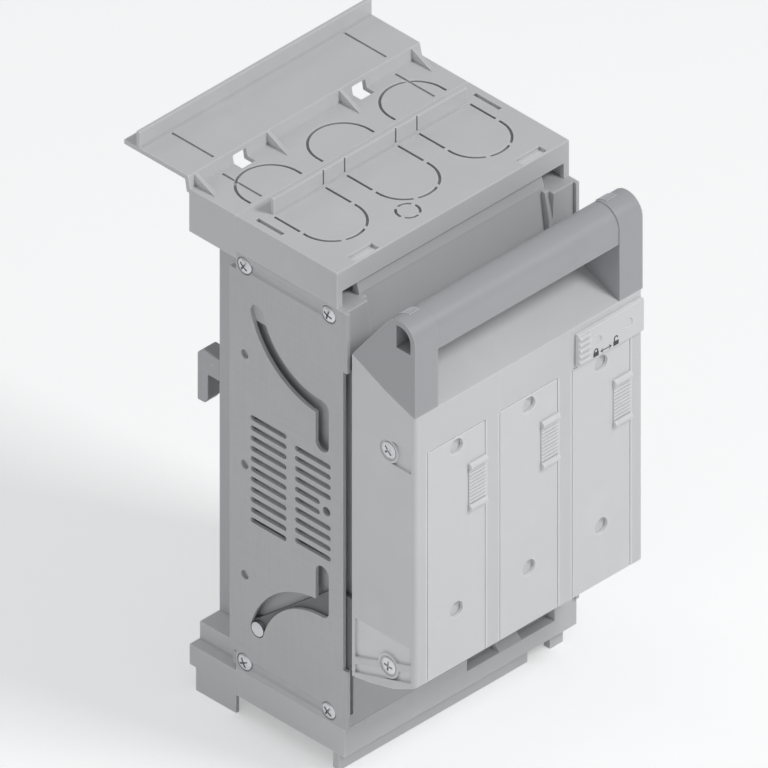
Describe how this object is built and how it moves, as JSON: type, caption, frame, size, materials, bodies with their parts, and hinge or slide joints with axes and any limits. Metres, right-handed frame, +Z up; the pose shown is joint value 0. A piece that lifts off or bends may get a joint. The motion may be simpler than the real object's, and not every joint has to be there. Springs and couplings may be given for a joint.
{
  "type": "fuse switch disconnector",
  "caption": "Busbar-mounted fuse switch disconnector with a swing-down lid carrying blade fuse-links, sliding test covers, terminal covers with knock-outs and slotted side plates.",
  "frame": {"origin": "centre of the contact pad that sits on the middle busbar, at mid width", "axes": "+Z up, front and lid towards -Y, busbars behind the seat at +Y, +X to the right seen from the front"},
  "size_m": [0.1072, 0.1343, 0.2075],
  "materials": {
    "housing_plastic": "matt glass-filled moulding",
    "cover_plastic": "matt moulding",
    "side_plastic": "fine-grained sheet",
    "lid_plastic": "satin moulding",
    "handle_plastic": "satin grip",
    "slide_plastic": "smooth moulding",
    "cheek_plastic": "glass-filled nylon",
    "hook_metal": "coated die casting",
    "zinc_steel": "zinc plated",
    "spring_steel": "rolled strip",
    "copper": "tinned in places, mostly bare copper",
    "ceramic": "unglazed steatite",
    "blade_silver": "silver plated"
  },
  "bodies": {
    "base": {"housing": "housing_plastic", "busbar_adapter": "housing_plastic", "busbar_hooks": "hook_metal", "lower_shroud": "cover_plastic", "bottom_cover": "cover_plastic", "top_cover": "cover_plastic", "busbar_cover": "cover_plastic", "side_plate_left": "side_plastic", "side_plate_right": "side_plastic", "plate_screws": "zinc_steel", "terminal_bolts": "zinc_steel", "jaw_springs": "spring_steel", "upper_contact_1": "copper", "upper_contact_2": "copper", "upper_contact_3": "copper", "lower_contact_1": "copper", "lower_contact_2": "copper", "lower_contact_3": "copper"},
    "lid": {"lid_shell": "lid_plastic", "handle": "handle_plastic", "lid_cheek_left": "cheek_plastic", "lid_cheek_right": "cheek_plastic", "hinge_pins": "zinc_steel", "guide_pins": "zinc_steel", "lid_screws": "zinc_steel", "fuse_body_1": "ceramic", "fuse_body_2": "ceramic", "fuse_body_3": "ceramic", "fuse_caps_1": "blade_silver", "fuse_caps_2": "blade_silver", "fuse_caps_3": "blade_silver"},
    "test_cover_1": {"test_cover_1": "slide_plastic"},
    "test_cover_2": {"test_cover_2": "slide_plastic"},
    "test_cover_3": {"test_cover_3": "slide_plastic"},
    "lock_slide": {"lock_slide": "slide_plastic"}
  },
  "joints": [
    {"name": "lid_hinge", "type": "hinge", "parent": "base", "child": "lid", "pos_m": [0, -0.06055, -0.0705], "axis": [1, 0, 0], "range_deg": [0, 75]},
    {"name": "test_cover_1_slide", "type": "slide", "parent": "lid", "child": "test_cover_1", "axis": [0, 0, -1], "range_m": [0, 0.008]},
    {"name": "test_cover_2_slide", "type": "slide", "parent": "lid", "child": "test_cover_2", "axis": [0, 0, -1], "range_m": [0, 0.008]},
    {"name": "test_cover_3_slide", "type": "slide", "parent": "lid", "child": "test_cover_3", "axis": [0, 0, -1], "range_m": [0, 0.008]},
    {"name": "lock_slide_travel", "type": "slide", "parent": "lid", "child": "lock_slide", "axis": [-1, 0, 0], "range_m": [0, 0.006]}
  ]
}
